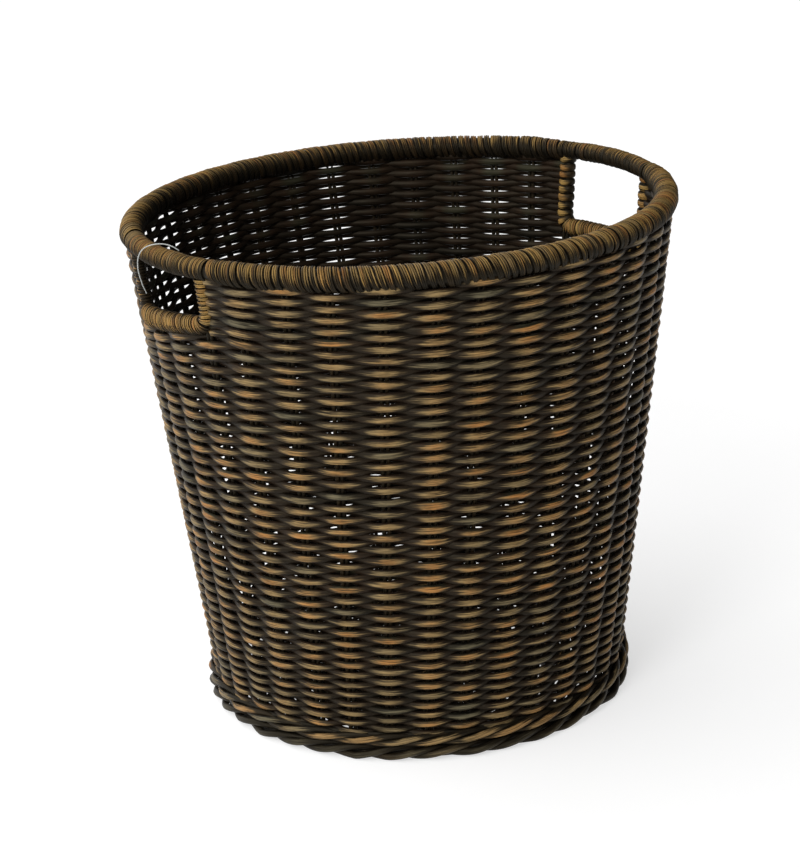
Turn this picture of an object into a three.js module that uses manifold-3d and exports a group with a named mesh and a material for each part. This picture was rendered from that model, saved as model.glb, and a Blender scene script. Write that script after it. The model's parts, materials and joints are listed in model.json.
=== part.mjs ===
// A round rattan log basket with two hand holes, in millimetres.
// +Z is up and the origin is the centre of the foot, on the floor. +X points through the right hand hole.
import * as THREE from "three";
import { mergeVertices } from "three/addons/utils/BufferGeometryUtils.js";
import Module from "manifold-3d";

const wasm = await Module();
wasm.setup();

// Driving dimensions
const HEIGHT = 418;
const RIM_DIAMETER = 450;
const GAP = 0.3;

// The basket was woven by eye, so its rim slopes: it is highest at RIM_SLOPE_ANGLE and lowest opposite,
// and it arches a little more over the right hand hole
const RIM_SLOPE = 0.022;
const RIM_SLOPE_ANGLE = -31;
const ARCH_RISE = 3.6;
const ARCH_WIDTH = 28;

// Rim: a hoop inside a lashing of split cane, with a finer, tighter coil over each hand hole
const HOOP_RADIUS = 4.5;
const WRAP_BORE_RADIUS = 5.8;
const LASHING_RADIUS = 9.8;
const COIL_RADIUS = 8.4;
const RIM_RADIUS = RIM_DIAMETER / 2 - LASHING_RADIUS;
const RIM_Z = HEIGHT - LASHING_RADIUS;

// Wall: pairs of stakes lean outwards, and a little sideways from under the rim down to the floor,
// and each course runs outside one pair and inside the next
const PAIR_COUNT = 36;
const PAIR_STEP = 360 / PAIR_COUNT;
const LEAN = 0.1245;
const SKEW = 0.037;
const STAKE_RADIUS_AT_FLOOR = 165.2;
const PAIR_WIDTH = 7.6;
const PAIR_FLAT = 4.8;
const STAKE_THICKNESS = 3.4;
const WEAVER_THICKNESS = 4.4;
const WEAVE_OFFSET = 5.5;
const WALL_TOP = RIM_Z - LASHING_RADIUS - GAP;
const FULL_COURSES = 10;
const HOLE_COURSES = 2;

// Hand holes: each is as wide as three stake spaces, from wrapped upright to wrapped upright
const HOLE_TOP = RIM_Z - COIL_RADIUS;
const UPRIGHT_ANGLE = 1.5 * PAIR_STEP;
const UPRIGHT_HALF_WIDTH = 5.6;
const UPRIGHT_HALF_DEPTH = 4.6;
const UPRIGHT_CORNER = 2.2;
const BAR_RADIUS = 7;
const BAR_CORE_RADIUS = 3.5;
const BAR_BORE_RADIUS = 3.9;
const BAR_END_ANGLE = UPRIGHT_ANGLE - 1.8;
const COURSE_END_ANGLE = UPRIGHT_ANGLE + 1.7;
const COIL_END_ANGLE = UPRIGHT_ANGLE + 1.8;
const LASHING_END_ANGLE = COIL_END_ANGLE + 0.1;
const HANDLES = [
  { side: "right", middle: 0, holeHeight: 50 },
  { side: "left", middle: 180, holeHeight: 34 },
].map((handle) => ({ ...handle, barZ: HOLE_TOP - handle.holeHeight - BAR_RADIUS }));
const [RIGHT, LEFT] = HANDLES;

// Foot and base: the stake pairs cross under the floor in two layers of nine and turn up as the wall
const FOOT_INNER_RADIUS = 160;
const FOOT_OUTER_RADIUS = 180;
const FOOT_EDGE = 4;
const FOOT_HEIGHT = 11;
const WALE_INNER_RADIUS = 171.2;
const WALE_OUTER_RADIUS = 180.5;
const WALE_EDGE = 3;
const WALE_TOP = 23.7;
const FLOOR_RADIUS = 157;
const FLOOR_THICKNESS = 3.3;
const LAYER_SIZE = 9;
const LAYER_PITCH = 9.8;
const CROSSING_HALF = 44;
const LAYER_Z = [13, 16.8];
const LAYER_TURN = [PAIR_STEP / 2, 90 + PAIR_STEP / 2];

// Clear nylon loop: its route over the rim, as angle, distance from the axis and height
const LOOP_DIAMETER = 0.9;
const LOOP_STEPS = 45;
const LOOP_ROUTE = [
  [184, 206, 414.5],
  [183, 209, 418],
  [181.8, 212.5, 419.5],
  [180.4, 215.5, 419.5],
  [179.1, 218.5, 418.5],
  [178, 222, 417],
  [177.1, 225, 414],
  [176.6, 227.5, 409],
  [176.3, 228, 403],
  [176, 227.5, 397.5],
  [175.4, 226, 392.5],
  [174.7, 224, 388],
  [173.8, 222, 383.5],
  [172.9, 220, 379.5],
  [171.9, 217.5, 375.5],
  [170.8, 215.5, 372],
];

const ROUND_SIDES = 8;
const RING_SEGMENTS = 48;
const LASHING_STEPS = 20;
const COIL_STEPS = 5;
const BAR_STEPS = 6;

const material = (color, roughness) => new THREE.MeshStandardMaterial({ color, roughness, metalness: 0 });
const RUBBED_CANE = material(0x7d5a31, 0.55);
const WEAVE_LIGHT = material(0x6a4d2c, 0.6);
const WEAVE_DARK = material(0x4b3823, 0.65);
const DARK_STAKE = material(0x2b2119, 0.75);
const FOOT_BROWN = material(0x4a3522, 0.65);
const CLEAR_NYLON = material(0xd9d9d2, 0.25);

const group = new THREE.Group();
group.name = "log_basket";

// Raises each point in proportion to its height, by as much as the rim rises over its place.
function sloped(geometry) {
  const position = geometry.getAttribute("position");
  const highSide = polar(1, RIM_SLOPE_ANGLE);
  for (let i = 0; i < position.count; i += 1) {
    const place = new THREE.Vector2(position.getX(i), position.getY(i));
    const fromArch = Math.atan2(place.y, place.x) / radians(ARCH_WIDTH);
    const rise = RIM_SLOPE * highSide.dot(place) + ARCH_RISE * Math.exp(-fromArch * fromArch);
    position.setZ(i, position.getZ(i) * (1 + rise / HEIGHT));
  }
  return geometry;
}

function add(name, geometry, look) {
  const mesh = new THREE.Mesh(sloped(geometry), look);
  mesh.name = name;
  group.add(mesh);
}

const radians = THREE.MathUtils.degToRad;
const stakeRadius = (z) => STAKE_RADIUS_AT_FLOOR + LEAN * z;
const polar = (radius, degrees) =>
  new THREE.Vector2(radius * Math.cos(radians(degrees)), radius * Math.sin(radians(degrees)));

// A level circle, or a stretch of one, round the basket's axis.
class RingArc extends THREE.Curve {
  constructor(radius, z, from, to) {
    super();
    Object.assign(this, { radius, z, from, to });
  }

  getPoint(t, target = new THREE.Vector3()) {
    const flat = polar(this.radius, THREE.MathUtils.lerp(this.from, this.to, t));
    return target.set(flat.x, flat.y, this.z);
  }
}

function roundOutline(radius) {
  return Array.from({ length: ROUND_SIDES }, (_, i) => polar(radius, (360 * i) / ROUND_SIDES));
}

function sleeveShape(outer, bore) {
  const shape = new THREE.Shape(outer);
  shape.holes.push(new THREE.Path(bore));
  return shape;
}

function alongPath(shape, extrudePath, steps) {
  return new THREE.ExtrudeGeometry(shape, { extrudePath, steps, bevelEnabled: false });
}

function upright(shape, low, high) {
  const geometry = new THREE.ExtrudeGeometry(shape, { depth: high - low, bevelEnabled: false });
  return geometry.translate(0, 0, low);
}

// Where a point at floor level goes at height z, as the wall leans outwards and sideways.
function leaned(point, outwards, z) {
  const sideways = new THREE.Vector2(-outwards.y, outwards.x);
  return point
    .clone()
    .addScaledVector(outwards, LEAN * z)
    .addScaledVector(sideways, SKEW * (z - WALL_TOP));
}

// Leans a standing piece, each point along its own radius or all along one direction.
function lean(geometry, degrees = null) {
  const position = geometry.getAttribute("position");
  for (let i = 0; i < position.count; i += 1) {
    const point = new THREE.Vector2(position.getX(i), position.getY(i));
    const outwards = degrees === null ? point.clone().normalize() : polar(1, degrees);
    const moved = leaned(point, outwards, position.getZ(i));
    position.setXY(i, moved.x, moved.y);
  }
  return geometry;
}

function solidOf(geometry) {
  const bare = geometry.clone();
  bare.deleteAttribute("normal");
  bare.deleteAttribute("uv");
  const merged = mergeVertices(bare);
  const mesh = new wasm.Mesh({
    numProp: 3,
    vertProperties: merged.getAttribute("position").array,
    triVerts: new Uint32Array(merged.index.array),
  });
  return new wasm.Manifold(mesh);
}

function joined(geometries) {
  const mesh = geometries.map(solidOf).reduce((whole, piece) => whole.add(piece)).getMesh();
  const geometry = new THREE.BufferGeometry();
  geometry.setAttribute("position", new THREE.BufferAttribute(mesh.vertProperties, 3));
  geometry.setIndex(new THREE.BufferAttribute(mesh.triVerts, 1));
  return geometry;
}

// An outline given round one point of the wall, as sideways and outward distances, turned into place.
function placedOutline(corners, degrees) {
  const outwards = polar(1, degrees);
  const sideways = polar(1, degrees - 90);
  return corners.map(([across, out]) =>
    outwards
      .clone()
      .multiplyScalar(STAKE_RADIUS_AT_FLOOR + out)
      .addScaledVector(sideways, across),
  );
}

// A rectangle with its four corners cut off, given by its half sizes.
function cutCorners(halfWidth, halfDepth, cut) {
  const quarter = [
    [halfWidth, halfDepth - cut],
    [halfWidth - cut, halfDepth],
  ];
  const flipped = quarter.map(([x, y]) => [-x, y]).reverse();
  const upper = [...quarter, ...flipped];
  return [...upper, ...upper.map(([x, y]) => [-x, -y])];
}

// Stakes
function stakeTop(degrees) {
  const angle = THREE.MathUtils.euclideanModulo(degrees, 360);
  const nearHandle = (handle, reach) =>
    Math.abs(THREE.MathUtils.euclideanModulo(angle - handle.middle + 180, 360) - 180) < reach;
  const cutBy = HANDLES.find((handle) => nearHandle(handle, PAIR_STEP));
  if (cutBy) return cutBy.barZ - BAR_RADIUS - GAP;
  const wrapped = HANDLES.some((handle) => nearHandle(handle, 2 * PAIR_STEP));
  return wrapped ? HOLE_TOP - GAP : WALL_TOP;
}

function standingPair(degrees, low) {
  const halfDepth = STAKE_THICKNESS / 2;
  const corners = [
    [PAIR_WIDTH / 2, 0],
    [PAIR_FLAT / 2, halfDepth],
    [-PAIR_FLAT / 2, halfDepth],
    [-PAIR_WIDTH / 2, 0],
    [-PAIR_FLAT / 2, -halfDepth],
    [PAIR_FLAT / 2, -halfDepth],
  ];
  const shape = new THREE.Shape(placedOutline(corners, degrees));
  return lean(upright(shape, low, stakeTop(degrees)), degrees);
}

// A flat strip of constant width through the given points, seen from above.
function stripShape(points, width) {
  const left = [];
  const right = [];
  points.forEach((point, i) => {
    const before = points[Math.max(i - 1, 0)];
    const after = points[Math.min(i + 1, points.length - 1)];
    const into = point === before ? after.clone().sub(point) : point.clone().sub(before);
    const away = point === after ? into.clone() : after.clone().sub(point);
    const middle = into.normalize().add(away.normalize()).normalize();
    const across = new THREE.Vector2(-middle.y, middle.x);
    across.multiplyScalar(width / 2 / middle.dot(away));
    left.push(point.clone().add(across));
    right.unshift(point.clone().sub(across));
  });
  return new THREE.Shape([...left, ...right]);
}

function throughPair(layer, place) {
  const z = LAYER_Z[layer];
  const turn = LAYER_TURN[layer];
  const ends = [180 - PAIR_STEP * place, PAIR_STEP * place];
  const sideways = LAYER_PITCH * place;
  const low = z - STAKE_THICKNESS / 2;
  const [left, right] = ends.map((end) => leaned(polar(STAKE_RADIUS_AT_FLOOR, end), polar(1, end), low));
  const crossing = [-CROSSING_HALF, CROSSING_HALF].map((along) => new THREE.Vector2(along, sideways));
  const shape = stripShape([left, ...crossing, right], PAIR_WIDTH);
  const run = upright(shape, low, low + STAKE_THICKNESS);
  run.rotateZ(radians(turn));
  return joined([run, ...ends.map((end) => standingPair(end + turn, low))]);
}

function addStakes() {
  const half = (LAYER_SIZE - 1) / 2;
  for (let layer = 0; layer < LAYER_Z.length; layer += 1) {
    for (let place = -half; place <= half; place += 1) {
      const number = String(layer * LAYER_SIZE + place + half + 1).padStart(2, "0");
      add(`stake_pair_${number}`, throughPair(layer, place), DARK_STAKE);
    }
  }
}

// Weave
function coursePoints(level, from, to) {
  const first = Math.ceil((from - PAIR_STEP / 2) / PAIR_STEP);
  const last = Math.floor((to - PAIR_STEP / 2) / PAIR_STEP);
  const points = [];
  for (let pair = first; pair <= last; pair += 1) {
    const outside = (pair + level) % 2 === 0;
    points.push({ angle: (pair + 0.5) * PAIR_STEP, offset: outside ? WEAVE_OFFSET : -WEAVE_OFFSET });
  }
  return points;
}

function courseEdge(points, side) {
  const shift = (side * WEAVER_THICKNESS) / 2;
  return points.map(({ angle, offset }) => polar(STAKE_RADIUS_AT_FLOOR + offset + shift, angle));
}

function ringCourse(level) {
  const points = coursePoints(level, 0, 360);
  return sleeveShape(courseEdge(points, 1), courseEdge(points, -1));
}

function arcCourse(level, from, to) {
  const points = [{ angle: from, offset: 0 }, ...coursePoints(level, from, to), { angle: to, offset: 0 }];
  return new THREE.Shape([...courseEdge(points, 1), ...courseEdge(points, -1).reverse()]);
}

function addCourse(name, shape, level, low, high) {
  add(name, lean(upright(shape, low, high - GAP)), level % 2 ? WEAVE_DARK : WEAVE_LIGHT);
}

function addWeave() {
  const fullLow = WALE_TOP + GAP;
  const fullHigh = RIGHT.barZ - BAR_RADIUS;
  const leftHigh = LEFT.barZ - BAR_RADIUS;
  const fullHeight = (fullHigh - fullLow) / FULL_COURSES;
  for (let level = 0; level < FULL_COURSES; level += 1) {
    const low = fullLow + level * fullHeight;
    const name = `wall_course_${String(level + 1).padStart(2, "0")}`;
    addCourse(name, ringCourse(level), level, low, low + fullHeight);
  }
  const aroundLeft = arcCourse(FULL_COURSES, COURSE_END_ANGLE, 360 - COURSE_END_ANGLE);
  addCourse("wall_course_under_left_hole", aroundLeft, FULL_COURSES, fullHigh, leftHigh);
  const holeHeight = (WALL_TOP + GAP - leftHigh) / HOLE_COURSES;
  for (let i = 0; i < HOLE_COURSES; i += 1) {
    const level = FULL_COURSES + 1 + i;
    const low = leftHigh + i * holeHeight;
    const back = arcCourse(level, COURSE_END_ANGLE, 180 - COURSE_END_ANGLE);
    const front = arcCourse(level, 180 + COURSE_END_ANGLE, 360 - COURSE_END_ANGLE);
    addCourse(`back_course_${i + 1}`, back, level, low, low + holeHeight);
    addCourse(`front_course_${i + 1}`, front, level, low, low + holeHeight);
  }
}

// Rim
function addRimWrap(name, radius, from, to, steps) {
  const shape = sleeveShape(roundOutline(radius), roundOutline(WRAP_BORE_RADIUS));
  add(name, alongPath(shape, new RingArc(RIM_RADIUS, RIM_Z, from, to), steps), RUBBED_CANE);
}

function addRim() {
  const hoop = new THREE.TorusGeometry(RIM_RADIUS, HOOP_RADIUS, ROUND_SIDES, RING_SEGMENTS);
  add("rim_hoop", hoop.translate(0, 0, RIM_Z), DARK_STAKE);
  for (const [place, side] of [["back", 0], ["front", 180]]) {
    const [from, to] = [side + LASHING_END_ANGLE, side + 180 - LASHING_END_ANGLE];
    addRimWrap(`rim_lashing_${place}`, LASHING_RADIUS, from, to, LASHING_STEPS);
  }
  for (const { side, middle } of HANDLES) {
    addRimWrap(`rim_coil_${side}`, COIL_RADIUS, middle - COIL_END_ANGLE, middle + COIL_END_ANGLE, COIL_STEPS);
  }
}

// Hand holes
function addHandle({ side, middle, barZ }) {
  const radius = stakeRadius(barZ);
  const barMiddle = middle + THREE.MathUtils.radToDeg(Math.atan((SKEW * (barZ - WALL_TOP)) / radius));
  const arc = new RingArc(radius, barZ, barMiddle - BAR_END_ANGLE, barMiddle + BAR_END_ANGLE);
  const core = new THREE.Shape(roundOutline(BAR_CORE_RADIUS));
  const wrap = sleeveShape(roundOutline(BAR_RADIUS), roundOutline(BAR_BORE_RADIUS));
  add(`handle_bar_${side}`, alongPath(core, arc, BAR_STEPS), DARK_STAKE);
  add(`handle_bar_wrap_${side}`, alongPath(wrap, arc, BAR_STEPS), RUBBED_CANE);
  for (const [place, sign] of [["front", -1], ["back", 1]]) {
    const facing = middle === 0 ? sign : -sign;
    const degrees = middle + facing * UPRIGHT_ANGLE;
    const outer = cutCorners(UPRIGHT_HALF_WIDTH, UPRIGHT_HALF_DEPTH, UPRIGHT_CORNER);
    const bore = cutCorners(PAIR_WIDTH / 2 + GAP, STAKE_THICKNESS / 2 + GAP, GAP);
    const shape = sleeveShape(placedOutline(outer, degrees), placedOutline(bore, degrees));
    const sleeve = upright(shape, barZ - BAR_RADIUS, HOLE_TOP - GAP);
    add(`upright_wrap_${side}_${place}`, lean(sleeve, degrees), RUBBED_CANE);
  }
}

// Foot and floor
function ringBody(corners) {
  const profile = [...corners, corners[0]].map(([radius, z]) => new THREE.Vector2(radius, z));
  return new THREE.LatheGeometry(profile, RING_SEGMENTS).rotateX(Math.PI / 2);
}

function addFoot() {
  const border = [
    [FOOT_INNER_RADIUS, 0],
    [FOOT_OUTER_RADIUS - FOOT_EDGE, 0],
    [FOOT_OUTER_RADIUS, FOOT_EDGE],
    [FOOT_OUTER_RADIUS, FOOT_HEIGHT],
    [FOOT_INNER_RADIUS, FOOT_HEIGHT],
  ];
  const waleLow = FOOT_HEIGHT + GAP;
  const wale = [
    [WALE_INNER_RADIUS, waleLow],
    [WALE_OUTER_RADIUS - WALE_EDGE, waleLow],
    [WALE_OUTER_RADIUS, waleLow + WALE_EDGE],
    [WALE_OUTER_RADIUS, WALE_TOP - WALE_EDGE],
    [WALE_OUTER_RADIUS - WALE_EDGE, WALE_TOP],
    [WALE_INNER_RADIUS, WALE_TOP],
  ];
  add("foot_border", ringBody(border), FOOT_BROWN);
  add("foot_wale", ringBody(wale), FOOT_BROWN);
}

function addFloor() {
  const reach = STAKE_THICKNESS / 2 + GAP + FLOOR_THICKNESS / 2;
  const heights = { floor_weave_under: LAYER_Z[0] - reach, floor_weave_top: LAYER_Z[1] + reach };
  for (const [name, z] of Object.entries(heights)) {
    const disc = new THREE.CylinderGeometry(FLOOR_RADIUS, FLOOR_RADIUS, FLOOR_THICKNESS, RING_SEGMENTS);
    add(name, disc.rotateX(Math.PI / 2).translate(0, 0, z), WEAVE_DARK);
  }
}

// Nylon loop
function addLoop() {
  const points = LOOP_ROUTE.map(([degrees, radius, z]) => {
    const flat = polar(radius, degrees);
    return new THREE.Vector3(flat.x, flat.y, z);
  });
  const section = new THREE.Shape(roundOutline(LOOP_DIAMETER / 2));
  add("tag_loop", alongPath(section, new THREE.CatmullRomCurve3(points), LOOP_STEPS), CLEAR_NYLON);
}

addStakes();
addWeave();
addRim();
HANDLES.forEach(addHandle);
addFoot();
addFloor();
addLoop();

export default group;
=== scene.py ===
"""A round rattan log basket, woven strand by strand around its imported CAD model. Metres, +Z up."""

import json
import math
from dataclasses import dataclass

import bpy
import numpy as np
from mathutils import Matrix, Vector


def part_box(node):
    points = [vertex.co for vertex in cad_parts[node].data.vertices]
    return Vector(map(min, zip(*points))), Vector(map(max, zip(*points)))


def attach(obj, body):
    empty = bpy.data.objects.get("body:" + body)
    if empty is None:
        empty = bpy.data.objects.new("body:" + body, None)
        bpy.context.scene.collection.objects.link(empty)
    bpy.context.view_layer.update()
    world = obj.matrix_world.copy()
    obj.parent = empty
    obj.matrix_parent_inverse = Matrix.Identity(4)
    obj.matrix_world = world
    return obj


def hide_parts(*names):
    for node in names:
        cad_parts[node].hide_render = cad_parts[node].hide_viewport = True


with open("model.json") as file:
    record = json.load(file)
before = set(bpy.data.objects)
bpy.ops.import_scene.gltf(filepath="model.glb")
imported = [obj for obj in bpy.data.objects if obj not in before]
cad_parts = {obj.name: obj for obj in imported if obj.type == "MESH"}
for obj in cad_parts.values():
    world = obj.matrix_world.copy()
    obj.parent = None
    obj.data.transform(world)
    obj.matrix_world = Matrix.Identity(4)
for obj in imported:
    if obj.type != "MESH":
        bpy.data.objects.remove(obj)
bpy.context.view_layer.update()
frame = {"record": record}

MM = 0.001
RNG = np.random.default_rng(20)

# Sizes that part.mjs drives the CAD with, in metres
PAIR_COUNT = 36
PAIR_STEP = 2 * math.pi / PAIR_COUNT
LEAN = 0.1245
SKEW = 0.037
STAKE_LINE = 166.1 * MM
HEIGHT = 418 * MM
RIM_SLOPE = 0.022
RIM_SLOPE_ANGLE = math.radians(-31)
ARCH_RISE = 3.6 * MM
ARCH_WIDTH = math.radians(28)
RIM_RADIUS = 215.2 * MM
RIM_Z = 408.2 * MM
LASHING_RADIUS = 9.8 * MM
COIL_RADIUS = 8.4 * MM
WALL_TOP = RIM_Z - LASHING_RADIUS
HOLE_TOP = RIM_Z - COIL_RADIUS
UPRIGHT_ANGLE = 1.5 * PAIR_STEP
COIL_HALF_ANGLE = math.radians(16.8)
BAR_RADIUS = 7 * MM

# Strand sizes, in metres
WEAVER_RADIUS = 2.4 * MM
ROD_RADIUS = 1.75 * MM
ROD_SPACING = 3.9 * MM
PASS_OFFSET = ROD_RADIUS + WEAVER_RADIUS - 0.25 * MM
STRIP_HALF_THICKNESS = 0.75 * MM
STRIP_HALF_WIDTH = 0.84 * MM
STRIP_PITCH = 1.66 * MM
LASHING_BUNDLE = 5.9 * MM
COIL_BUNDLE = 5.3 * MM
TUBE_SIDES = 8

# The wall's rows from low to high: the pitch, and how much taller than thick the strands are
ROW_HEIGHTS = (26 * MM, 60 * MM, 130 * MM, 215 * MM, 330 * MM, 400 * MM)
ROW_PITCHES = (4.2 * MM, 4.45 * MM, 4.95 * MM, 5.15 * MM, 4.7 * MM, 4.6 * MM)
ROW_SQUASHES = (1.12, 1.18, 1.27, 1.32, 1.35, 1.37)
FIRST_ROW = 22.2 * MM
STEPS_PER_PAIR = 8

# The camera, fitted to the basket in the photo; the light comes from its left
CAMERA_AZIMUTH = math.radians(-31)
CAMERA_ELEVATION = math.radians(19.1)
CAMERA_ROLL = math.radians(2.65)
CAMERA_DISTANCE = 2.004
CAMERA_LENS = 99.7
CAMERA_RIGHT = Vector((math.cos(CAMERA_AZIMUTH), math.sin(CAMERA_AZIMUTH), 0))
CAMERA_TARGET = Vector((0, 0, 0.21445)) - 0.0071 * CAMERA_RIGHT

FLOOR_HALF_SIZE = 14.0


@dataclass
class HandleLook:
    """How one hand hole is wrapped with bands of cane, and how its bar lies."""

    coil_radius: float  # of the rim over the hole
    upright_band: float  # width of one band on an upright
    upright_strips: int  # strips in that band
    upright_half: float  # half the width of an upright
    bar_half: float  # half the height of the bar
    slant: float  # how far a turn on the bar leans
    tilt: float = 0.0  # the bar's rise per metre along it
    drop: float = 0.0  # how far the bar hangs below the even one
    both_faces: bool = False  # rubbed inside as well as outside


HANDLE_LOOKS = {
    "right": HandleLook(
        coil_radius=7.5 * MM,
        upright_band=6.6 * MM,
        upright_strips=1,
        upright_half=6.0 * MM,
        bar_half=6.2 * MM,
        slant=1.8 * MM,
        both_faces=True,
    ),
    "left": HandleLook(
        coil_radius=8.3 * MM,
        upright_band=3.9 * MM,
        upright_strips=2,
        upright_half=4.8 * MM,
        bar_half=7.5 * MM,
        slant=-2.2 * MM,
        tilt=0.155,
        drop=4.2 * MM,
    ),
}
BAR_BAND = 5.4 * MM
BAR_STRIPS = 3


# ---------------------------------------------------------------- camera
def camera_matrix():
    """Azimuth 0 looks along +Y, elevation is above the floor, roll is clockwise."""
    back = Vector((
        math.sin(CAMERA_AZIMUTH) * math.cos(CAMERA_ELEVATION),
        -math.cos(CAMERA_AZIMUTH) * math.cos(CAMERA_ELEVATION),
        math.sin(CAMERA_ELEVATION),
    ))
    up = back.cross(CAMERA_RIGHT)
    rolled_right = CAMERA_RIGHT * math.cos(CAMERA_ROLL) - up * math.sin(CAMERA_ROLL)
    rolled_up = CAMERA_RIGHT * math.sin(CAMERA_ROLL) + up * math.cos(CAMERA_ROLL)
    matrix = Matrix((rolled_right, rolled_up, back)).transposed().to_4x4()
    matrix.translation = CAMERA_TARGET + back * CAMERA_DISTANCE
    return matrix


def add_camera():
    data = bpy.data.cameras.new("camera")
    data.sensor_width = 36
    data.lens = CAMERA_LENS
    data.clip_end = 20
    camera = bpy.data.objects.new("camera", data)
    camera.matrix_world = camera_matrix()
    bpy.context.collection.objects.link(camera)
    bpy.context.scene.camera = camera


# ---------------------------------------------------------------- node helpers
class Nodes:
    """Short calls for building one material's node tree."""

    def __init__(self, name):
        self.material = bpy.data.materials.new(name)
        self.material.use_nodes = True
        self.tree = self.material.node_tree
        self.shader = self.tree.nodes["Principled BSDF"]

    def new(self, kind, **inputs):
        node = self.tree.nodes.new(kind)
        for key, value in inputs.items():
            self.feed(node.inputs[key.replace("_", " ")], value)
        return node

    def feed(self, socket, value):
        if isinstance(value, bpy.types.NodeSocket):
            self.tree.links.new(value, socket)
        else:
            socket.default_value = value

    def attribute(self, name):
        node = self.tree.nodes.new("ShaderNodeAttribute")
        node.attribute_name = name
        return node.outputs["Fac"]

    def math(self, operation, *values):
        node = self.tree.nodes.new("ShaderNodeMath")
        node.operation = operation
        for socket, value in zip(node.inputs, values):
            self.feed(socket, value)
        return node.outputs["Value"]

    def between(self, value, low, high, to_low=0.0, to_high=1.0):
        node = self.new("ShaderNodeMapRange", Value=value)
        node.interpolation_type = "SMOOTHSTEP"
        node.inputs["From Min"].default_value = low
        node.inputs["From Max"].default_value = high
        node.inputs["To Min"].default_value = to_low
        node.inputs["To Max"].default_value = to_high
        return node.outputs["Result"]

    def mix(self, factor, first, second):
        node = self.tree.nodes.new("ShaderNodeMix")
        node.data_type = "RGBA"
        self.feed(node.inputs[0], factor)
        self.feed(node.inputs[6], first)
        self.feed(node.inputs[7], second)
        return node.outputs[2]

    def ramp(self, value, *stops):
        node = self.tree.nodes.new("ShaderNodeValToRGB")
        elements = node.color_ramp.elements
        while len(elements) < len(stops):
            elements.new(0.5)
        for element, (position, color) in zip(elements, stops):
            element.position = position
            element.color = (*color, 1)
        self.feed(node.inputs["Fac"], value)
        return node.outputs["Color"]

    def scaled(self, value, factor):
        return self.math("MULTIPLY", value, factor)

    def noise(self, vector, scale, detail=3.0, roughness=0.55):
        settings = {"Scale": scale, "Detail": detail, "Roughness": roughness}
        node = self.new("ShaderNodeTexNoise", Vector=vector, **settings)
        return node.outputs["Fac"]

    def vector(self, x, y, z):
        node = self.new("ShaderNodeCombineXYZ", X=x, Y=y, Z=z)
        return node.outputs["Vector"]


def cane_material(name, stain, worn, rub_light_start, rub_light_full, gain=1.0):
    """Stained rattan, dark in the recesses and rubbed to bare cane where a strand stands proud; on the
    rim and hand holes the same mix also carries painted light on top and painted shade underneath and on
    the hole sides.

    stain and worn are each (low, middle, high) colours, picked by the strand's tone, which on the wall
    also holds painted shade where a row passes between stakes."""
    n = Nodes(name)
    tone = n.attribute("tone")
    wear_and_light = n.attribute("wear_and_light")
    along = n.attribute("along")
    around = n.attribute("around")
    seed = n.scaled(n.attribute("strand"), 97.0)

    def stretched(lengthwise, across, detail=2.0):
        place = n.vector(n.scaled(along, lengthwise), n.scaled(around, across), seed)
        return n.noise(place, 1.0, detail, 0.6)

    patch = stretched(45.0, 0.5)
    fibre = stretched(60.0, 4.5, 3.0)
    pores = stretched(260.0, 8.0, 1.0)
    stained = n.ramp(tone, (0.0, stain[0]), (0.5, stain[1]), (1.0, stain[2]))
    rubbed = n.ramp(tone, (0.0, worn[0]), (0.45, worn[1]), (1.0, worn[2]))
    patchy = n.scaled(n.math("SUBTRACT", patch, 0.5), 0.8)
    streaky = n.scaled(n.math("SUBTRACT", fibre, 0.5), 1.1)
    # The rubbing mask read here also holds painted light and painted shade from the rim and hand holes.
    wear_and_light_level = n.math("ADD", wear_and_light, n.math("ADD", patchy, streaky))
    wear_and_light_mix = n.scaled(n.between(wear_and_light_level, rub_light_start, rub_light_full), gain)
    light_fibre = n.between(fibre, 0.32, 0.7, 0.5, 1.4)
    dark_pores = n.between(pores, 0.3, 0.42, 0.7, 1.0)
    shaded = n.new("ShaderNodeVectorMath", Vector=n.mix(wear_and_light_mix, stained, rubbed))
    shaded.operation = "SCALE"
    n.feed(shaded.inputs["Scale"], n.math("MULTIPLY", light_fibre, dark_pores))
    n.feed(n.shader.inputs["Base Color"], shaded.outputs["Vector"])
    n.feed(n.shader.inputs["Roughness"], n.between(fibre, 0.2, 0.8, 0.38, 0.62))
    bump = n.new("ShaderNodeBump", Height=n.math("ADD", fibre, n.scaled(pores, 0.4)))
    bump.inputs["Strength"].default_value = 0.5
    bump.inputs["Distance"].default_value = 0.3 * MM
    n.feed(n.shader.inputs["Normal"], bump.outputs["Normal"])
    n.shader.inputs["Specular IOR Level"].default_value = 0.16
    n.shader.inputs["Specular Tint"].default_value = (1, 0.86, 0.62, 1)
    return n.material


def nylon_material():
    n = Nodes("clear_nylon")
    speck = n.noise(n.new("ShaderNodeTexCoord").outputs["Object"], 900.0)
    n.shader.inputs["Base Color"].default_value = (0.55, 0.57, 0.55, 1)
    n.feed(n.shader.inputs["Roughness"], n.between(speck, 0.3, 0.7, 0.12, 0.3))
    n.shader.inputs["Transmission Weight"].default_value = 0.4
    n.shader.inputs["IOR"].default_value = 1.5
    return n.material


def floor_material():
    n = Nodes("pale_floor")
    mottle = n.noise(n.new("ShaderNodeTexCoord").outputs["Object"], 3.0)
    greys = n.ramp(mottle, (0.0, (0.48, 0.48, 0.48)), (1.0, (0.52, 0.52, 0.52)))
    n.feed(n.shader.inputs["Base Color"], greys)
    n.shader.inputs["Roughness"].default_value = 0.9
    n.shader.inputs["Emission Color"].default_value = (1, 1, 1, 1)
    n.shader.inputs["Emission Strength"].default_value = 0.6
    return n.material


# ---------------------------------------------------------------- geometry helpers
def slope_at(x, y):
    """How much taller than even the basket is: its rim slopes, and arches over the right hole."""
    reach = x * math.cos(RIM_SLOPE_ANGLE) + y * math.sin(RIM_SLOPE_ANGLE)
    arch = ARCH_RISE * np.exp(-((np.arctan2(y, x) / ARCH_WIDTH) ** 2))
    return 1 + (RIM_SLOPE * reach + arch) / HEIGHT


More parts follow.
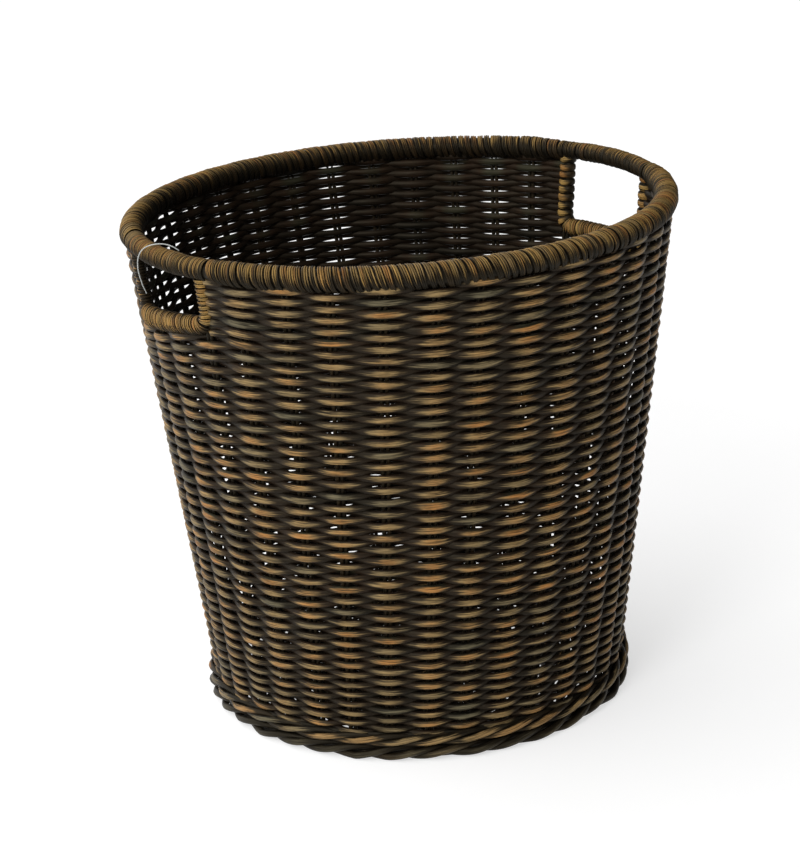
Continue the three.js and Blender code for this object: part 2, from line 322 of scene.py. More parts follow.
def even_level(node, end):
    """The height of a node's low end (0), middle (0.5) or high end (1), had the rim no slope."""
    low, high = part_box(node)
    middle = (low + high) / 2
    slopes = [slope_at(middle.x, middle.y + side * (high.y - low.y) / 2) for side in (-1, 0, 1)]
    return low.z / min(slopes) * (1 - end) + high.z / max(slopes) * end


def unit(vectors):
    return vectors / np.linalg.norm(vectors, axis=-1, keepdims=True)


def smooth_noise(spread, places):
    """Random values, one to each stake pair round the basket, smoothly joined and read at places."""
    knots = RNG.normal(0, spread, PAIR_COUNT)
    base = np.floor(places).astype(int)
    part = places - base
    ease = part * part * (3 - 2 * part)
    return knots[base % PAIR_COUNT] * (1 - ease) + knots[(base + 1) % PAIR_COUNT] * ease


def unrubbed(cosines):
    """How far a strand stands out that is out of sight, so that it is stained all over."""
    return -0.6 + 0 * cosines


def radial(angle):
    return np.stack([np.cos(angle), np.sin(angle), np.zeros_like(angle)], -1)


def tangential(angle):
    return np.stack([-np.sin(angle), np.cos(angle), np.zeros_like(angle)], -1)


def wall_points(angle, z, out=0.0):
    """Points on the leaning wall: out is the distance outside the line of the stakes."""
    angle, z, out = np.broadcast_arrays(np.asarray(angle, float), z, out)
    distance = (STAKE_LINE + LEAN * z + out)[..., None]
    skew = (SKEW * (z - WALL_TOP))[..., None]
    points = radial(angle) * distance + tangential(angle) * skew
    points[..., 2] = z
    return points


class Strands:
    """Gathers tubes into one mesh, with the strand coordinates that the cane materials read."""

    NAMES = ("wear_and_light", "along", "around", "tone", "strand")

    def __init__(self):
        self.points = []
        self.faces = []
        self.values = {name: [] for name in self.NAMES}
        self.strips = []
        self.count = 0

    def add(self, path, outwards, thick, wide, tone, wear_and_light, closed=False, sides=TUBE_SIDES):
        """path and outwards are rows of 3; thick is the half size along outwards, wide the one across.

        The function for rubbing takes the outward cosines of the section's corners and gives how far each
        stands out; for the rim and hand holes it also gives painted light on top and painted shade
        underneath and on the hole sides."""
        count = len(path)
        if closed:
            ahead, behind = np.roll(path, -1, 0), np.roll(path, 1, 0)
        else:
            ahead, behind = np.vstack([path[1:], path[-1:]]), np.vstack([path[:1], path[:-1]])
        forward = unit(ahead - behind)
        out = unit(outwards - forward * np.sum(outwards * forward, -1, keepdims=True))
        across = np.cross(forward, out)
        turn = 2 * math.pi * np.arange(sides) / sides
        thick = np.broadcast_to(thick, (count,))
        wide = np.broadcast_to(wide, (count,))
        if not closed:
            taper = np.ones(count)
            taper[[0, -1]] = 0.45
            thick, wide = thick * taper, wide * taper
        ring = (
            path[:, None]
            + out[:, None] * (thick[:, None] * np.cos(turn))[..., None]
            + across[:, None] * (wide[:, None] * np.sin(turn))[..., None]
        )
        steps = np.linalg.norm(np.diff(path, axis=0), axis=1)
        along = np.concatenate([[0], np.cumsum(steps)]) + RNG.uniform(0, 5)
        self.points.append(ring.reshape(-1, 3))
        values = {
            "wear_and_light": wear_and_light(np.cos(turn)),
            "along": along[:, None],
            "around": np.sin(turn),
            "tone": np.broadcast_to(tone, (count,))[:, None],
            "strand": RNG.uniform(0, 1),
        }
        for name in self.NAMES:
            self.values[name].append(np.broadcast_to(values[name], (count, sides)).ravel())
        self._join(count, sides, closed)

    def _join(self, count, sides, closed):
        row = np.arange(count if closed else count - 1)
        side = np.arange(sides)
        here = self.count + row[:, None] * sides + side
        here_next = self.count + row[:, None] * sides + (side + 1) % sides
        there = self.count + ((row + 1) % count)[:, None] * sides + side
        there_next = self.count + ((row + 1) % count)[:, None] * sides + (side + 1) % sides
        quads = np.stack([here, here_next, there_next, there], -1).reshape(-1, 4)
        self.faces.extend(quads.tolist())
        self.strips.append((len(row), sides, not closed))
        if not closed:
            first = list(range(self.count + sides - 1, self.count - 1, -1))
            last = list(range(self.count + (count - 1) * sides, self.count + count * sides))
            self.faces.extend([first, last])
        self.count += count * sides

    def _bake_map(self, chunk):
        """One flat strip of the bake map for each stretch of chunk steps of a strand."""
        cells = sum(math.ceil(steps / chunk) for steps, _, _ in self.strips)
        columns = max(1, round(math.sqrt(cells / 40)))
        lines = math.ceil(cells / columns)
        uv = []
        place = 0
        for steps, sides, capped in self.strips:
            step = np.arange(steps)
            cell = place + step // chunk
            left = (cell // lines + (step % chunk) / chunk * 0.98 + 0.01) / columns
            right = left + 0.98 / chunk / columns
            side = np.arange(sides)
            low = (cell[:, None] % lines + 0.06 + 0.88 * side / sides) / lines
            high = low + 0.88 / sides / lines
            left = np.broadcast_to(left[:, None], low.shape)
            right = np.broadcast_to(right[:, None], low.shape)
            corners = np.stack([left, low, left, high, right, high, right, low], -1)
            uv.append(corners.ravel())
            if capped:
                turn = 2 * math.pi * side / sides
                tip = 0.2 / lines
                for u, v in ((left[0, 0], low[0, 0]), (right[-1, 0], low[-1, 0])):
                    middle = np.array([u, v + 0.4 / lines])
                    uv.append((middle + tip * 0.4 * np.stack([np.cos(turn), np.sin(turn)], -1)).ravel())
            place += math.ceil(steps / chunk)
        return np.concatenate(uv)

    def build(self, name, material, slot, *replaced, chunk=72):
        mesh = bpy.data.meshes.new(name)
        points = np.concatenate(self.points)
        points[:, 2] *= slope_at(points[:, 0], points[:, 1])
        mesh.from_pydata(points.tolist(), [], self.faces)
        layer = mesh.uv_layers.new(name="OFBake")
        layer.data.foreach_set("uv", self._bake_map(chunk))
        for key, values in self.values.items():
            attribute = mesh.attributes.new(key, "FLOAT", "POINT")
            attribute.data.foreach_set("value", np.concatenate(values).astype(np.float32))
        mesh.polygons.foreach_set("use_smooth", [True] * len(mesh.polygons))
        mesh.materials.append(material)
        piece = bpy.data.objects.new(name, mesh)
        bpy.context.collection.objects.link(piece)
        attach(piece, "root")
        if replaced:
            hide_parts(*replaced)
        return piece


# ---------------------------------------------------------------- nylon loop
LOOP_DIAMETER = 0.9 * MM

# The route in part.mjs: degrees round the axis, then distance from it and height in millimetres.
# A scratch script solved these points against the loop's line in the photo; none is chosen by hand.
LOOP_ROUTE = [
    (184, 206, 414.5),
    (183, 209, 418),
    (181.8, 212.5, 419.5),
    (180.4, 215.5, 419.5),
    (179.1, 218.5, 418.5),
    (178, 222, 417),
    (177.1, 225, 414),
    (176.6, 227.5, 409),
    (176.3, 228, 403),
    (176, 227.5, 397.5),
    (175.4, 226, 392.5),
    (174.7, 224, 388),
    (173.8, 222, 383.5),
    (172.9, 220, 379.5),
    (171.9, 217.5, 375.5),
    (170.8, 215.5, 372),
]


def add_loop():
    data = bpy.data.curves.new("tag_loop_thread", "CURVE")
    data.dimensions = "3D"
    data.bevel_depth = LOOP_DIAMETER / 2
    data.use_fill_caps = True
    data.resolution_u = 6
    spline = data.splines.new("NURBS")
    spline.points.add(len(LOOP_ROUTE) - 1)
    spline.use_endpoint_u = True
    spline.order_u = 4
    for point, (degrees, distance, z) in zip(spline.points, LOOP_ROUTE):
        angle = math.radians(degrees)
        place = Vector((distance * math.cos(angle), distance * math.sin(angle), z)) * MM
        place.z *= slope_at(place.x, place.y)
        point.co = (*place, 1)
    loop = bpy.data.objects.new("tag_loop_thread", data)
    data.materials.append(nylon_material())
    bpy.context.collection.objects.link(loop)
    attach(loop, "root")
    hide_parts("tag_loop")


# ---------------------------------------------------------------- wall
def pair_angles():
    """Each pair's angle, a little off the even spacing."""
    even = (np.arange(PAIR_COUNT) + 0.5) * PAIR_STEP
    wander = RNG.normal(0, 0.004, PAIR_COUNT)
    for middle in (0, math.pi):
        beside = np.abs(np.abs(np.angle(np.exp(1j * (even - middle)))) - UPRIGHT_ANGLE) < 0.01
        wander[beside] = 0
    return even + wander


PAIR_ANGLES = pair_angles()


def angle_at(u):
    """The wall angle at stake place u, where whole numbers are the pairs."""
    turn = np.floor(u / PAIR_COUNT)
    within = u - turn * PAIR_COUNT
    knots = np.concatenate([PAIR_ANGLES, [PAIR_ANGLES[0] + 2 * math.pi]])
    return np.interp(within, np.arange(PAIR_COUNT + 1), knots) + 2 * math.pi * turn


COLUMN_FULLNESS = RNG.normal(0, 0.045, PAIR_COUNT)


def row_heights():
    """The height of every row: packed close near the foot and the rim, looser between."""
    heights = [FIRST_ROW]
    while heights[-1] < WALL_TOP - 0.8 * MM:
        heights.append(heights[-1] + np.interp(heights[-1], ROW_HEIGHTS, ROW_PITCHES))
    return heights


def undulation(angle, z):
    """The slow rise and fall that neighbouring rows share."""
    return 0.9 * MM * (np.sin(3 * angle + 9 * z) + 0.6 * np.sin(7 * angle - 21 * z + 1.3))


def fullness(u, z):
    """How much thicker or thinner than the rest the strands are in one patch of the wall."""
    column = np.interp(u % PAIR_COUNT, np.arange(PAIR_COUNT), COLUMN_FULLNESS)
    return column + 0.03 * np.sin(1.7 * u + 55 * z) * np.sin(0.6 * u - 31 * z)


def bar_lift(angle, z):
    """How far the left hand hole's tilted bar lifts the wall below it, fading out over a reach."""
    reach = 40 * MM
    bar_low = even_level("handle_bar_wrap_left", 0)
    from_middle = angle - math.pi
    beside = np.clip(2 - np.abs(from_middle) / UPRIGHT_ANGLE, 0, 1)
    below = max(0, 1 - abs(z - bar_low) / reach)
    look = HANDLE_LOOKS["left"]
    return (look.tilt * from_middle * (STAKE_LINE + LEAN * z) - look.drop) * beside * below


def add_row(strands, number, z, from_place, to_place, closed):
    """One weaver, in front of a stake pair and behind the next, between two stake places."""
    steps = round((to_place - from_place) * STEPS_PER_PAIR)
    u = np.linspace(from_place, to_place, steps + (0 if closed else 1), endpoint=not closed)
    wave = np.cos(math.pi * (u + number))
    flat_top = wave * (1.04 - 0.04 * wave * wave)
    out = PASS_OFFSET * flat_top
    if not closed:
        fade = np.clip(np.minimum(u - from_place, to_place - u) / 0.5, 0, 1)
        out = out * fade
    angle = angle_at(u)
    free = min(1, (z - FIRST_ROW) / (60 * MM), abs(WALL_TOP - z) / (40 * MM))
    lift = undulation(angle, z) * free + bar_lift(angle, z)
    lift += smooth_noise(0.12 * MM, u % PAIR_COUNT)
    uneven = RNG.normal(0, 0.025) + smooth_noise(0.025, u % PAIR_COUNT)
    radius = WEAVER_RADIUS * (1 + uneven + fullness(u, z))
    tone = 0.55 + RNG.normal(0, 0.15) + smooth_noise(0.22, u % PAIR_COUNT)
    # Painted shade and stain: the tone darkens where the row passes between stake pairs, down in the
    # crevices of the weave.
    tone = tone * (0.32 + 0.68 * wave * wave)
    path = wall_points(angle, z + lift, out)

    def wear_and_light(cosines):
        return cosines + 0.55 * (wave[:, None] - 1)

    half_height = radius * np.interp(z, ROW_HEIGHTS, ROW_SQUASHES)
    strands.add(path, radial(angle), radius, half_height, np.clip(tone, 0, 1), wear_and_light, closed)


def row_spans(z):
    """The stretches of a row, in stake places, that the hand holes leave at height z."""
    right_low = even_level("handle_bar_wrap_right", 0)
    left_low = even_level("handle_bar_wrap_left", 0)
    right, left = -0.5, PAIR_COUNT / 2 - 0.5
    reach = UPRIGHT_ANGLE / PAIR_STEP
    if z < right_low:
        return [(0, PAIR_COUNT, True)]
    if z < left_low:
        return [(right + reach, right + PAIR_COUNT - reach, False)]
    return [(right + reach, left - reach, False), (left + reach, right + PAIR_COUNT - reach, False)]


def weave_pieces():
    """Each CAD course of the wall, with the material slot that model.json gives it."""
    names = [f"wall_course_{i:02d}" for i in range(1, 11)] + ["wall_course_under_left_hole"]
    names += [f"{side}_course_{i}" for side in ("back", "front") for i in (1, 2)]
    slots = {part["node"]: part["material_slot"] for part in frame["record"]["subparts"]}
    return {name: slots[name] for name in names}


def course_for(z, start, end, closed):
    """The CAD course that a row at height z stands in for, between its first and last stake places."""
    if closed:
        names = [name for name in weave_pieces() if name.startswith("wall") and name[-1].isdigit()]
    elif end - start > PAIR_COUNT / 2:
        names = ["wall_course_under_left_hole"]
    else:
        side = "back" if start < PAIR_COUNT / 2 - 1 else "front"
        names = [name for name in weave_pieces() if name.startswith(side)]
    return min(names, key=lambda name: abs(even_level(name, 0.5) - z))


def add_wall(material):
    gathered = {name: Strands() for name in weave_pieces()}
    for number, z in enumerate(row_heights()):
        for start, end, closed in row_spans(z):
            add_row(gathered[course_for(z, start, end, closed)], number, z, start, end, closed)
    for name, slot in weave_pieces().items():
        gathered[name].build(name.replace("course", "weave"), material, slot, name)


# ---------------------------------------------------------------- stakes
def rod_top(place):
    """How high the pair at a stake place goes: cut under a hand hole, or up to the rim."""
    from_right = abs((place + 0.5 + PAIR_COUNT / 2) % PAIR_COUNT - PAIR_COUNT / 2)
    if from_right < 1:
        return even_level("handle_bar_wrap_right", 0) + 2 * MM
    if PAIR_COUNT / 2 - from_right < 1:
        return even_level("handle_bar_wrap_left", 0) + 4 * MM
    return WALL_TOP + 2 * MM


def rod_side(place, sideways, run_z, inner):
    """One side of a rod: down the wall, round a bend and in to the crossing under the floor."""
    angle = PAIR_ANGLES[place % PAIR_COUNT]
    lean = RNG.normal(0, 0.25 * MM)
    bend = 8 * MM
    z = np.linspace(rod_top(place), run_z + bend, 30)
    shift = sideways + lean * np.sin(16 * z)
    wall = wall_points(angle, z) + tangential(np.asarray(angle)) * shift[:, None]
    turn = np.linspace(0, math.pi / 2, 7)[1:]
    foot = wall[-1]
    inwards = unit(np.array([inner[0] - foot[0], inner[1] - foot[1], 0]))
    corner = foot + inwards * (bend * (1 - np.cos(turn)))[:, None]
    corner[:, 2] -= bend * np.sin(turn)
    run = np.linspace(corner[-1], np.array([*inner, run_z]), 14)[1:]
    outwards = np.vstack([
        np.tile(radial(np.asarray(angle)), (len(wall), 1)),
        -inwards * np.cos(turn)[:, None] - np.array([0, 0, 1]) * np.sin(turn)[:, None],
        np.tile([0, 0, -1.0], (len(run), 1)),
    ])
    return np.vstack([wall, corner, run]), outwards


def add_layer(material, layer, run_z):
    """Nine stake pairs side by side, each up one wall, across under the floor and up the other."""
    strands = Strands()
    pitch, half_crossing = 9.8 * MM, 44 * MM
    turn = PAIR_STEP / 2 + layer * math.pi / 2
    for place in range(-4, 5):
        for rod in (-0.5, 0.5):
            offset = pitch * place + rod * ROD_SPACING
            middle = [Vector((x, offset)) for x in (half_crossing, -half_crossing)]
            for point in middle:
                point.rotate(Matrix.Rotation(turn, 2))
            right_place = place + layer * 9
            left_place = 18 - place + layer * 9
            first, first_out = rod_side(right_place, rod * ROD_SPACING, run_z, middle[0])
            last, last_out = rod_side(left_place, -rod * ROD_SPACING, run_z, middle[1])
            path = np.vstack([first, last[::-1]])
            outwards = np.vstack([first_out, last_out[::-1]])
            tone = np.clip(RNG.normal(0.4, 0.2), 0, 1)
            strands.add(path, outwards, ROD_RADIUS, ROD_RADIUS, tone, lambda c: 0.35 * c - 0.25)
    nodes = [f"stake_pair_{layer * 9 + i:02d}" for i in range(1, 10)]
    strands.build(f"stake_rods_{layer + 1}", material, "dark_stake", *nodes, chunk=60)


def add_stakes(material):
    for layer, run_z in enumerate((13 * MM, 16.8 * MM)):
        add_layer(material, layer, run_z)


# ---------------------------------------------------------------- rim
def rim_turn(angle, slant, radius):
    """One turn of cane round the rim's section, from and to the wall's top edge, out of sight."""
    wobble = 0.15 * MM
    turn = np.linspace(-math.pi / 2, 1.5 * math.pi, 21)
    shift = slant * (math.pi / 2 - turn) / math.pi
    at = angle + shift / RIM_RADIUS
    middle = radial(at) * RIM_RADIUS
    middle[:, 2] = RIM_Z
    outwards = radial(at) * np.cos(turn)[:, None]
    outwards[:, 2] = np.sin(turn)
    reach = radius + wobble * np.sin(turn * 2 + angle * 40)
    return middle + outwards * reach[:, None], outwards, turn


def lashing_radius(angle):
    """The lashing thins down to each coil over the last stretch before it."""
    stretch = 30 * MM
    radius = LASHING_RADIUS
    for middle, look in ((0, HANDLE_LOOKS["right"]), (math.pi, HANDLE_LOOKS["left"])):
        from_middle = abs((angle - middle + math.pi) % (2 * math.pi) - math.pi)
        part = min(1, max(0, from_middle - COIL_HALF_ANGLE) * RIM_RADIUS / stretch)
        thinned = look.coil_radius + 0.3 * MM + (LASHING_RADIUS - look.coil_radius) * part
        radius = min(radius, thinned)
    return radius


def add_bundle(strands, bundle, radius, slant):
    """Three strips of split cane side by side, once round the rim."""
    bundle_tone = RNG.normal(0.5, 0.22)
    for strip in (-1, 0, 1):
        angle = bundle + strip * STRIP_PITCH / RIM_RADIUS
        strip_radius = radius + (0.12 * MM if strip == 0 else 0) + RNG.normal(0, 0.12 * MM)
        path, outwards, turn = rim_turn(angle, slant, strip_radius)
        gather = -strip * 0.5 * MM * np.clip(-np.sin(turn) + 0.2, 0, 1)
        path = path + tangential(np.full(len(turn), angle)) * gather[:, None]
        tone = np.clip(bundle_tone + RNG.normal(0, 0.18), 0, 1)
        size = (STRIP_HALF_THICKNESS, STRIP_HALF_WIDTH)
        strands.add(path, outwards, *size, tone, rim_rub_and_top_light(turn), sides=6)


def rim_rub_and_top_light(turn):
    """The rim is rubbed most on top and outside, least under and inside; its top is also painted lighter
    and its underside darker, as painted light from above.
    """
    # Painted light and wear: sin(turn) lightens the top and darkens the underside; cos(turn) rubs the
    # outside more than the inside.
    shade = 0.38 + 0.42 * np.sin(turn) + 0.12 * np.cos(turn) + RNG.normal(0, 0.07)
    return lambda cosines: shade[:, None] + 0.45 * (cosines - 1)


def add_lashing(material, name, start, end):
    """The open lashing of one stretch of rim, in slanting bundles that lie unevenly."""
    strands = Strands()
    end_gap = 1.6 * MM / RIM_RADIUS
    start, end = start + end_gap, end - end_gap
    count = round((end - start) * RIM_RADIUS / LASHING_BUNDLE)
    for i in range(count):
        bundle = start + (i + 0.5) * (end - start) / count + RNG.normal(0, 0.3 * MM) / RIM_RADIUS
        radius = lashing_radius(bundle) - STRIP_HALF_THICKNESS
        add_bundle(strands, bundle, radius, RNG.normal(8, 0.9) * MM)
    strands.build(f"{name}_cane", material, "rubbed_cane", name, chunk=20)


def add_coil(material, side, middle):
    """The finer, close and nearly square coil of the rim over a hand hole."""
    strands = Strands()
    radius = HANDLE_LOOKS[side].coil_radius - 0.65 * MM
    count = round(2 * COIL_HALF_ANGLE * RIM_RADIUS / COIL_BUNDLE)
    for i in range(count):
        bundle = middle - COIL_HALF_ANGLE + (i + 0.5) * 2 * COIL_HALF_ANGLE / count
        add_bundle(strands, bundle, radius, RNG.normal(2.6, 0.8) * MM)
    strands.build(f"rim_coil_{side}_cane", material, "rubbed_cane", f"rim_coil_{side}", chunk=20)


def add_rim_core(material):
    """The hoop inside the lashing and coils, which shows only in the gaps between turns."""
    strands = Strands()
    angle = np.linspace(0, 2 * math.pi, 180, endpoint=False)
    path = radial(angle) * RIM_RADIUS
    path[:, 2] = RIM_Z
    radius = np.array([lashing_radius(one) for one in angle]) - 1.9 * MM
    strands.add(path, radial(angle), radius, radius, 0.1, unrubbed, True, 12)
    strands.build("rim_core", material, "dark_stake", "rim_hoop")


# ---------------------------------------------------------------- hand holes
def hole_route(bar_z, corner):
    """The frame under the rim as sideways and height: down, round a corner, across and up."""
    half = UPRIGHT_ANGLE * (STAKE_LINE + LEAN * bar_z)
    turn = np.linspace(0, math.pi / 2, 9)
    down_x = np.full(12, -half)
    down_z = np.linspace(HOLE_TOP + 3 * MM, bar_z + corner, 12)
    bend_x = -half + corner * (1 - np.cos(turn))
    bend_z = bar_z + corner * (1 - np.sin(turn))
    across_x = np.linspace(-half + corner, half - corner, 24)[1:-1]
    x = np.concatenate([down_x[:-1], bend_x, across_x, -bend_x[::-1], -down_x[::-1][1:]])
    across_z = np.full(len(across_x), bar_z)
    z = np.concatenate([down_z[:-1], bend_z, across_z, bend_z[::-1], down_z[::-1][1:]])
    return x, z


def frame_points(middle, x, z, look, bar_z):
    """Points of a hand hole's frame, given as sideways and height; the bar tilts, the rim's ends stay."""
    on_bar = np.clip(1 - (z - bar_z) / (HOLE_TOP - bar_z), 0, 1)
    angle = middle + x / (STAKE_LINE + LEAN * z)
    return angle, z + (look.tilt * x - look.drop) * on_bar


def add_turn(strands, middle, look, bar_z, place, forward, deep, wide, half_width):
    """One turn of split cane round the frame at a place, square to the way forward.

    deep and wide are the turn's half sizes through the wall and along it; half_width is the strip's."""
    across = np.array([-forward[1], forward[0]])
    turn = np.linspace(0, 2 * math.pi, 18, endpoint=False)
    slant = look.slant * abs(forward[0]) * np.sin(turn)
    flat_x = place[0] + across[0] * wide * np.sin(turn) + forward[0] * slant
    flat_z = place[1] + across[1] * wide * np.sin(turn) + forward[1] * slant
    angle, flat_z = frame_points(middle, flat_x, flat_z, look, bar_z)
    path = wall_points(angle, flat_z, deep * np.cos(turn))
    outwards = radial(angle) * np.cos(turn)[:, None]
    outwards += tangential(angle) * (across[0] * np.sin(turn))[:, None]
    outwards[:, 2] = across[1] * np.sin(turn)
    facing = np.abs(np.cos(turn)) if look.both_faces else np.cos(turn)
    # Painted shade: the uprights' sides facing into the hole are darkened; on the bar the top, facing
    # into the hole, is rubbed lighter.
    bar_rub_and_upright_shade = 0.2 if abs(forward[0]) > 0.5 else -0.35
    shade = 0.36 + 0.4 * facing + bar_rub_and_upright_shade * np.sin(turn) + RNG.normal(0, 0.08)
    tone = np.clip(RNG.normal(0.6, 0.2), 0, 1)
    thick = max(STRIP_HALF_THICKNESS, 0.4 * half_width)

    def wear_and_light(cosines):
        return shade[:, None] + 0.45 * (cosines - 1)

    strands.add(path, outwards, thick, half_width, tone, wear_and_light, True)


def bar_share(z, bar_z):
    """1 on a hand hole's bar, fading to 0 a little way up its uprights."""
    return np.clip(1 - (z - bar_z) / (10 * MM), 0, 1)


def add_handle(material, side, middle):
    """The wrapped frame of a hand hole: bands of cane down one upright, along the bar and up again."""
    look = HANDLE_LOOKS[side]
    bar_z = even_level(f"handle_bar_wrap_{side}", 0) + BAR_RADIUS
    x, z = hole_route(bar_z, 8 * MM)
    length = np.concatenate([[0], np.cumsum(np.hypot(np.diff(x), np.diff(z)))])

    def place_at(distance):
        return np.array([np.interp(distance, length, x), np.interp(distance, length, z)])

    strands = Strands()
    margin, bulge_size, jitter = 1.5 * MM, 0.45 * MM, 0.15 * MM
    upright_depth, bar_depth = 4.3 * MM, 6.2 * MM
    at = margin
    while at < length[-1] - margin:
        on_bar = bar_share(place_at(at)[1], bar_z)
        band = look.upright_band * (1 - on_bar) + BAR_BAND * on_bar
        strips = look.upright_strips if on_bar < 0.5 else BAR_STRIPS
        for strip in range(strips):
            here = at + (band - 0.7 * MM) * (strip - (strips - 1) / 2) / strips
            forward = unit(place_at(here + MM) - place_at(here - MM))
            bulge = bulge_size * (strip == strips // 2)
            deep = upright_depth * (1 - on_bar) + bar_depth * on_bar
            deep += bulge + RNG.normal(0, jitter)
            wide = look.upright_half * (1 - on_bar) + look.bar_half * on_bar
            wide += bulge + RNG.normal(0, jitter)
            half_width = (0.5 * band - 0.3 * MM) / strips * (1 + RNG.normal(0, 0.06))
            place = place_at(here)
            place[0] += np.sign(place[0]) * (look.upright_half - 4.5 * MM) * (1 - on_bar)
            add_turn(strands, middle, look, bar_z, place, forward, deep, wide, half_width)
        at += band * (1 + RNG.normal(0, 0.06))
    frame_angle, frame_z = frame_points(middle, x, z, look, bar_z)
    core = 4.0 * MM + 1.7 * MM * bar_share(z, bar_z)
    core_path = wall_points(frame_angle, frame_z)
    strands.add(core_path, radial(frame_angle), core, core, 0.3, unrubbed)
    replaced = [f"handle_bar_{side}", f"handle_bar_wrap_{side}"]
    replaced += [f"upright_wrap_{side}_{end}" for end in ("front", "back")]
    strands.build(f"hand_hole_{side}_cane", material, "rubbed_cane", *replaced, chunk=18)


# ---------------------------------------------------------------- foot and floor
@dataclass
class Rope:
    """Three strands twisted together round the foot: where they lie, and how far they swing."""

    middle: float  # distance from the basket's axis
    z: float
    swing_out: float
    swing_up: float
    radius: float  # of one strand
    tone: float
    phase: float
    bumps: float  # spread of the random rise and fall


def add_rope(material, name, node, rope):
    """Each strand shows outside as a long slanting stretch; a ring in the blackest stain, unrubbed, fills
    the space behind them as painted shade.
    """
    strands = Strands()
    u = np.linspace(0, PAIR_COUNT, PAIR_COUNT * 10, endpoint=False)
    angle = (u + 0.5) * PAIR_STEP
    for strand in range(3):
        turn = 2 * math.pi * (u + strand) / 3 + rope.phase
        size = rope.radius * (1 + smooth_noise(0.05, u))
        out = rope.swing_out * np.cos(turn)
        path = radial(angle) * (rope.middle + out)[:, None]
        path[:, 2] = rope.z + rope.swing_up * np.sin(turn) + smooth_noise(rope.bumps, u)
        path[:, 2] = np.maximum(path[:, 2], size)
        tone = np.clip(rope.tone + smooth_noise(0.2, u), 0, 1)

        def wear_and_light(cosines):
            return (out[:, None] + size[:, None] * cosines) / (rope.swing_out + rope.radius)

        strands.add(path, radial(angle), size, size, tone, wear_and_light, True, 10)
    # Painted shade: the filler ring takes tone 0 and no rubbing, to stand dark in the gaps between the
    # strands.
    filler = radial(angle) * (rope.middle - rope.radius)
    filler[:, 2] = rope.z
    half_height = rope.swing_up + rope.radius
    strands.add(filler, radial(angle), 2 * MM, half_height, 0.0, lambda c: -1 + 0 * c, True, 10)
    strands.build(name, material, "foot_brown", node, chunk=90)


def add_foot(upper_material, lower_material):
    low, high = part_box("foot_wale")
    wale = Rope(
        middle=174.6 * MM,
        z=(low.z + high.z) / 2,
        swing_out=3.3 * MM,
        swing_up=3.1 * MM,
        radius=2.6 * MM,
        tone=0.5,
        phase=0.4,
        bumps=0.3 * MM,
    )
    border = Rope(
        middle=172.4 * MM,
        z=6.2 * MM,
        swing_out=4.9 * MM,
        swing_up=3.5 * MM,
        radius=3.0 * MM,
        tone=0.35,
        phase=2.2,
        bumps=1.2 * MM,
    )
    add_rope(upper_material, "foot_wale_strands", "foot_wale", wale)
    add_rope(lower_material, "foot_border_strands", "foot_border", border)


def add_floor_weave(material):
    """Rings of weaver over and under the spreading stakes, either side of the stake layers."""
    strands = Strands()
    middle_z = (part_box("floor_weave_under")[0].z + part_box("floor_weave_top")[1].z) / 2
    pitch = 4.7 * MM
    radius = 2.1 * MM
    swing = 5.0 * MM
    first_ring = 54 * MM
    count = int((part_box("floor_weave_top")[1].x - first_ring + 2 * MM) / pitch)
    for ring in range(count):
        distance = first_ring + ring * pitch
        u = np.linspace(0, PAIR_COUNT, PAIR_COUNT * 8, endpoint=False)
        wave = np.cos(math.pi * (u + ring))
        lift = swing * wave * (1.3 - 0.3 * wave * wave)
        angle = (u + 0.5) * PAIR_STEP
        path = radial(angle) * distance
        path[:, 2] = middle_z + lift
        up = np.tile([0, 0, 1.0], (len(u), 1))
        tone = np.clip(0.45 + smooth_noise(0.2, u), 0, 1)

        def wear_and_light(cosines):
            return lift[:, None] / (6 * MM) * 0.4 + 0.3 * cosines

        strands.add(path, up, radius, radius, tone, wear_and_light, True, 6)
    strands.build("floor_weave", material, "weave_dark", "floor_weave_top", "floor_weave_under", chunk=72)


# ---------------------------------------------------------------- stage and light
def add_stage():
    data = bpy.data.meshes.new("floor")
    size = FLOOR_HALF_SIZE
    corners = [(-size, -size, 0), (size, -size, 0), (size, size, 0), (-size, size, 0)]
    data.from_pydata(corners, [], [(0, 1, 2, 3)])
    data.materials.append(floor_material())
    floor = bpy.data.objects.new("floor", data)
    floor.location.z = -0.2 * MM
    bpy.context.collection.objects.link(floor)


def add_key():
    """A weak disk light up to the left, for soft highlights."""
    data = bpy.data.lights.new("key", "AREA")
    data.shape = "DISK"
    data.size = 1.2
    data.energy = 45
    light = bpy.data.objects.new("key", data)
    light.location = (-2.4, -1.6, 2.2)
    aim = Vector((0, 0, 0.2)) - light.location
    light.rotation_euler = aim.to_track_quat("-Z", "Y").to_euler()
    bpy.context.collection.objects.link(light)


def add_world():
    """A white studio all round, bright to the left of the camera and dim to its right."""
    world = bpy.data.worlds.new("studio")
    world.use_nodes = True
    tree = world.node_tree
    direction = tree.nodes.new("ShaderNodeTexCoord").outputs["Generated"]
    across = tree.nodes.new("ShaderNodeVectorMath")
    across.operation = "DOT_PRODUCT"
    across.inputs[1].default_value = CAMERA_RIGHT
    tree.links.new(direction, across.inputs[0])
    strength = tree.nodes.new("ShaderNodeMapRange")
    for name, value in (("From Min", -0.9), ("From Max", 0.4), ("To Min", 2.0), ("To Max", 0.12)):
        strength.inputs[name].default_value = value
    tree.links.new(across.outputs["Value"], strength.inputs["Value"])
    tree.links.new(strength.outputs["Result"], tree.nodes["Background"].inputs["Strength"])
    tree.nodes["Background"].inputs["Color"].default_value = (1, 1, 1, 1)
    bpy.context.scene.world = world


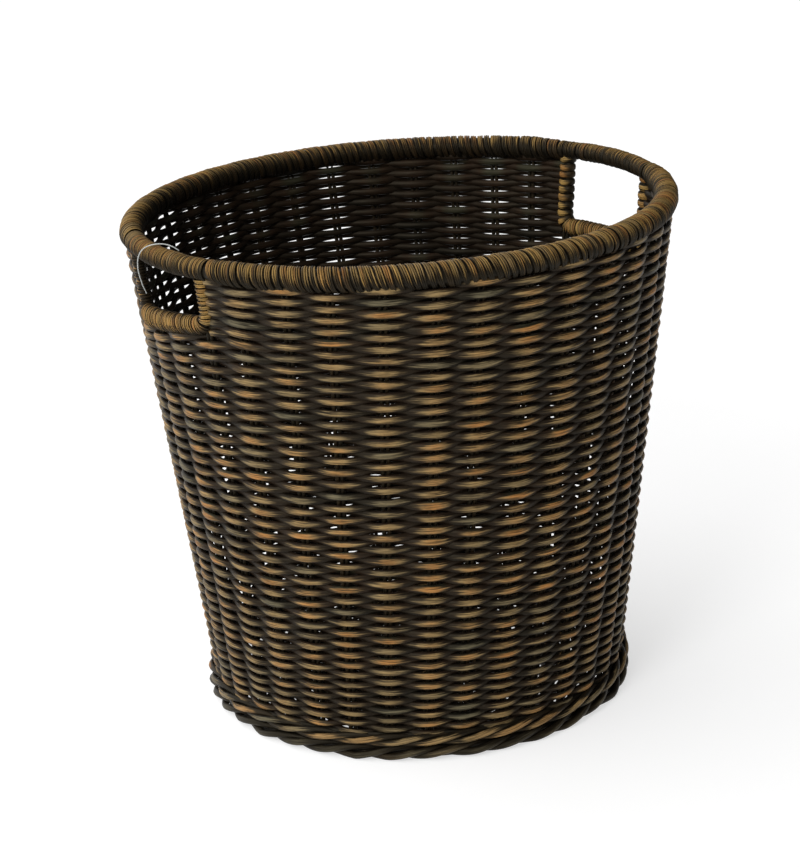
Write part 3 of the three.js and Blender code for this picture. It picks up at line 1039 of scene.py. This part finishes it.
# ---------------------------------------------------------------- the basket
GREY_BROWN = (0.1, 0.085, 0.05)
TAN = (0.215, 0.143, 0.06)
YELLOW_TAN = (0.3, 0.185, 0.055)
ORANGE_TAN = (0.28, 0.13, 0.038)
NEAR_BLACK = (0.006, 0.005, 0.0035)
DARK_BROWN = (0.011, 0.008, 0.0045)
BROWN = (0.024, 0.015, 0.007)
RED_BROWN = (0.019, 0.0105, 0.006)
OLIVE = (0.025, 0.024, 0.014)
WEAVE_STAIN = (NEAR_BLACK, RED_BROWN, OLIVE)
BROWN_STAIN = (NEAR_BLACK, DARK_BROWN, BROWN)
TAN_WEAR = (GREY_BROWN, TAN, ORANGE_TAN)
YELLOW_WEAR = (TAN, YELLOW_TAN, ORANGE_TAN)
BORDER_WEAR = (DARK_BROWN, GREY_BROWN, TAN)
STAKE_WEAR = (DARK_BROWN, BROWN, GREY_BROWN)

add_camera()
add_loop()
weave_cane = cane_material("weave_cane", WEAVE_STAIN, TAN_WEAR, 0.5, 1.0)
rim_cane = cane_material("rim_cane", BROWN_STAIN, YELLOW_WEAR, 0.38, 0.9)
stake_cane = cane_material("stake_cane", BROWN_STAIN, STAKE_WEAR, 0.2, 1.0)
foot_cane = cane_material("foot_cane", BROWN_STAIN, TAN_WEAR, 0.6, 1.0)
border_cane = cane_material("border_cane", BROWN_STAIN, BORDER_WEAR, 0.6, 1.3, gain=0.6)
add_wall(weave_cane)
add_stakes(stake_cane)
add_rim_core(stake_cane)
add_lashing(rim_cane, "rim_lashing_back", COIL_HALF_ANGLE, math.pi - COIL_HALF_ANGLE)
add_lashing(rim_cane, "rim_lashing_front", math.pi + COIL_HALF_ANGLE, 2 * math.pi - COIL_HALF_ANGLE)
for side, middle in (("right", 0.0), ("left", math.pi)):
    add_coil(rim_cane, side, middle)
    add_handle(rim_cane, side, middle)
add_foot(foot_cane, border_cane)
add_floor_weave(weave_cane)
add_stage()
add_world()
add_key()
bpy.context.scene.view_settings.view_transform = "Standard"
